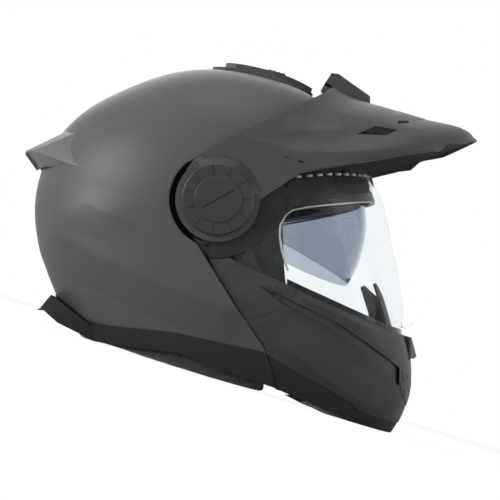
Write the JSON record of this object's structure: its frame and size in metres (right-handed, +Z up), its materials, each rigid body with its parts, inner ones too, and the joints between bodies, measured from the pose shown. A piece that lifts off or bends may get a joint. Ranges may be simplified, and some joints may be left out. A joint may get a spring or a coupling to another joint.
{
  "type": "dual sport helmet",
  "caption": "Modular full-face helmet with a peak, flip-up chin bar, clear shield, drop-down sun visor and chin strap.",
  "frame": {"origin": "on the standing plane and the middle plane, straight below the axis of the side pivots, inside the neck opening", "axes": "+X towards the front of the helmet, +Y to the wearer's left, +Z up as the helmet stands on its lower edge"},
  "size_m": [0.3944, 0.254, 0.2918],
  "materials": {
    "matte_shell": "matte black lacquer, satin",
    "peak_plastic": "matte black, fine grain",
    "chin_plastic": "matte black",
    "trim_rubber": "dark edge rubber",
    "gasket_rubber": "ribbed black rubber",
    "pivot_plastic": "satin black",
    "vent_plastic": "matte grey black",
    "spoiler_plastic": "matte dark grey",
    "clear_shield": "clear polycarbonate",
    "smoke_visor": "smoke tinted polycarbonate",
    "foam_liner": "expanded foam, black",
    "pad_fabric": "black knitted mesh",
    "webbing": "black woven webbing",
    "steel": "plain steel",
    "curtain_fabric": "light grey fabric",
    "red_plastic": "red pull"
  },
  "bodies": {
    "shell": {"outer_shell": "matte_shell", "neck_trim": "trim_rubber", "rear_spoiler": "spoiler_plastic", "spoiler_louvre": "vent_plastic", "crown_vent_base": "vent_plastic", "crown_vent_cover": "peak_plastic", "eye_port_gasket": "gasket_rubber", "brow_seal": "gasket_rubber", "impact_liner": "foam_liner", "crown_comfort_pad": "pad_fabric", "cheek_pad_right": "pad_fabric", "cheek_pad_left": "pad_fabric", "neck_roll": "pad_fabric", "pivot_base_right": "pivot_plastic", "pivot_base_left": "pivot_plastic", "pivot_disc_right": "pivot_plastic", "pivot_disc_left": "pivot_plastic", "sun_visor_pins": "pivot_plastic", "latch_pins": "steel", "chin_strap_right": "webbing", "chin_strap_left": "webbing", "strap_rivets": "steel", "pad_snaps": "pivot_plastic", "buckle_body": "steel", "ratchet_tongue": "pivot_plastic"},
    "vent_slider": {"crown_vent_slider": "pivot_plastic"},
    "sun_visor": {"sun_visor": "smoke_visor"},
    "visor_lever": {"sun_visor_lever": "pivot_plastic"},
    "chin": {"chin_bar": "chin_plastic", "chin_skirt": "trim_rubber", "chin_curtain": "curtain_fabric", "chin_liner": "foam_liner", "chin_gasket": "gasket_rubber", "mouth_vent_grille": "vent_plastic", "breath_deflector": "gasket_rubber", "latch_hook_pins": "steel"},
    "vent_shutter": {"mouth_vent_shutter": "vent_plastic"},
    "button": {"release_button": "red_plastic"},
    "hook_right": {"latch_hook_right": "steel"},
    "hook_left": {"latch_hook_left": "steel"},
    "shield": {"face_shield": "clear_shield", "shield_base_plate_right": "pivot_plastic", "shield_base_plate_left": "pivot_plastic"},
    "peak": {"peak": "peak_plastic", "peak_scoop": "vent_plastic"},
    "strap_lever": {"buckle_lever": "red_plastic"}
  },
  "joints": [
    {"name": "chin_hinge", "type": "hinge", "parent": "shell", "child": "chin", "pos_m": [0, 0, 0.143], "axis": [0, -1, 0], "range_deg": [0, 76]},
    {"name": "shield_hinge", "type": "hinge", "parent": "chin", "child": "shield", "pos_m": [0, 0, 0.143], "axis": [0, -1, 0], "range_deg": [0, 40]},
    {"name": "peak_hinge", "type": "hinge", "parent": "chin", "child": "peak", "pos_m": [0, 0, 0.143], "axis": [0, -1, 0], "range_deg": [0, 10]},
    {"name": "sun_visor_hinge", "type": "hinge", "parent": "shell", "child": "sun_visor", "pos_m": [0.03448, 0, 0.14327], "axis": [0, -1, 0], "range_deg": [0, 42]},
    {"name": "visor_lever_slide", "type": "slide", "parent": "shell", "child": "visor_lever", "axis": [0.9974, 0.0248, 0.0677], "range_m": [0, 0.012]},
    {"name": "crown_vent_slide", "type": "slide", "parent": "shell", "child": "vent_slider", "axis": [-0.9996, 0, -0.0283], "range_m": [0, 0.008]},
    {"name": "mouth_vent_slide", "type": "slide", "parent": "chin", "child": "vent_shutter", "axis": [0, 1, 0], "range_m": [0, 0.0065]},
    {"name": "release_push", "type": "slide", "parent": "chin", "child": "button", "axis": [0.9548, 0, 0.2974], "range_m": [0, 0.004], "stiffness_N_per_m": 400, "springref_m": -0.002},
    {"name": "hook_right_turn", "type": "hinge", "parent": "chin", "child": "hook_right", "pos_m": [0.10693, 0, 0.04852], "axis": [0, 1, 0], "range_deg": [0, 8]},
    {"name": "hook_left_turn", "type": "hinge", "parent": "chin", "child": "hook_left", "pos_m": [0.10693, 0, 0.04852], "axis": [0, 1, 0], "range_deg": [0, 8]},
    {"name": "strap_lever_hinge", "type": "hinge", "parent": "shell", "child": "strap_lever", "pos_m": [0.03, -0.0238, 0.0155], "axis": [-1, 0, 0], "range_deg": [0, 28], "stiffness_Nm_per_rad": 0.05, "springref_deg": -11.46}
  ],
  "couplings": [
    {"joint": "visor_lever_slide", "follows": "sun_visor_hinge", "m_per_rad": 0.0163},
    {"joint": "hook_right_turn", "follows": "release_push", "rad_per_m": 34},
    {"joint": "hook_left_turn", "follows": "release_push", "rad_per_m": 34}
  ]
}
